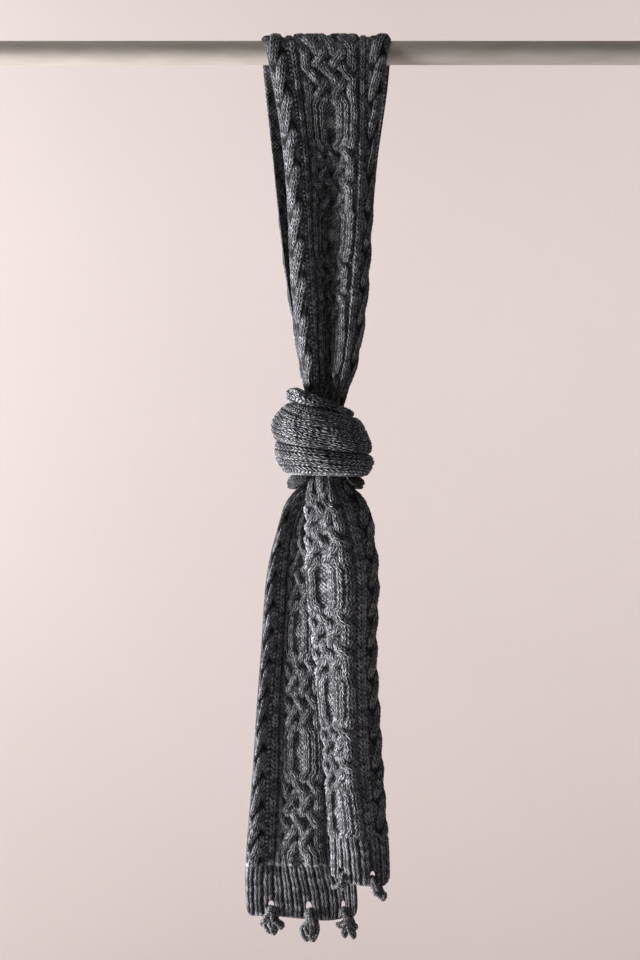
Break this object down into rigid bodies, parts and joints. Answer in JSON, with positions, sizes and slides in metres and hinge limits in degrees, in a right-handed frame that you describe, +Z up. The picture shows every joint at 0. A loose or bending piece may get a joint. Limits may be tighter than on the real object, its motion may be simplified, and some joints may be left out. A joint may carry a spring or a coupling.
{
  "type": "knit scarf on a rod",
  "caption": "Cable-knit scarf folded over a round rod and tied in a wrap knot, with two hanging tails that end in ribbing and looped yarn tassels.",
  "frame": {"origin": "on the rod's axis, halfway along the rod", "axes": "+Z up, the scarf hangs along -Z; +X along the rod to the scarf's right as seen from its front; the front of the scarf faces -Y"},
  "size_m": [0.7, 0.0912, 0.9084],
  "materials": {
    "knit": "matte",
    "rod": "satin"
  },
  "bodies": {
    "root": {"rod": "rod", "drop_front": "knit", "drop_back": "knit", "knot_roll": "knit", "knot_band": "knit", "knot_fold": "knit", "knot_lobe_left": "knit", "knot_lobe_right": "knit", "tail_front": "knit", "tail_back": "knit", "tassel_back_1": "knit", "tassel_back_2": "knit", "tassel_back_3": "knit", "tassel_front_1": "knit", "tassel_front_2": "knit"}
  },
  "joints": []
}
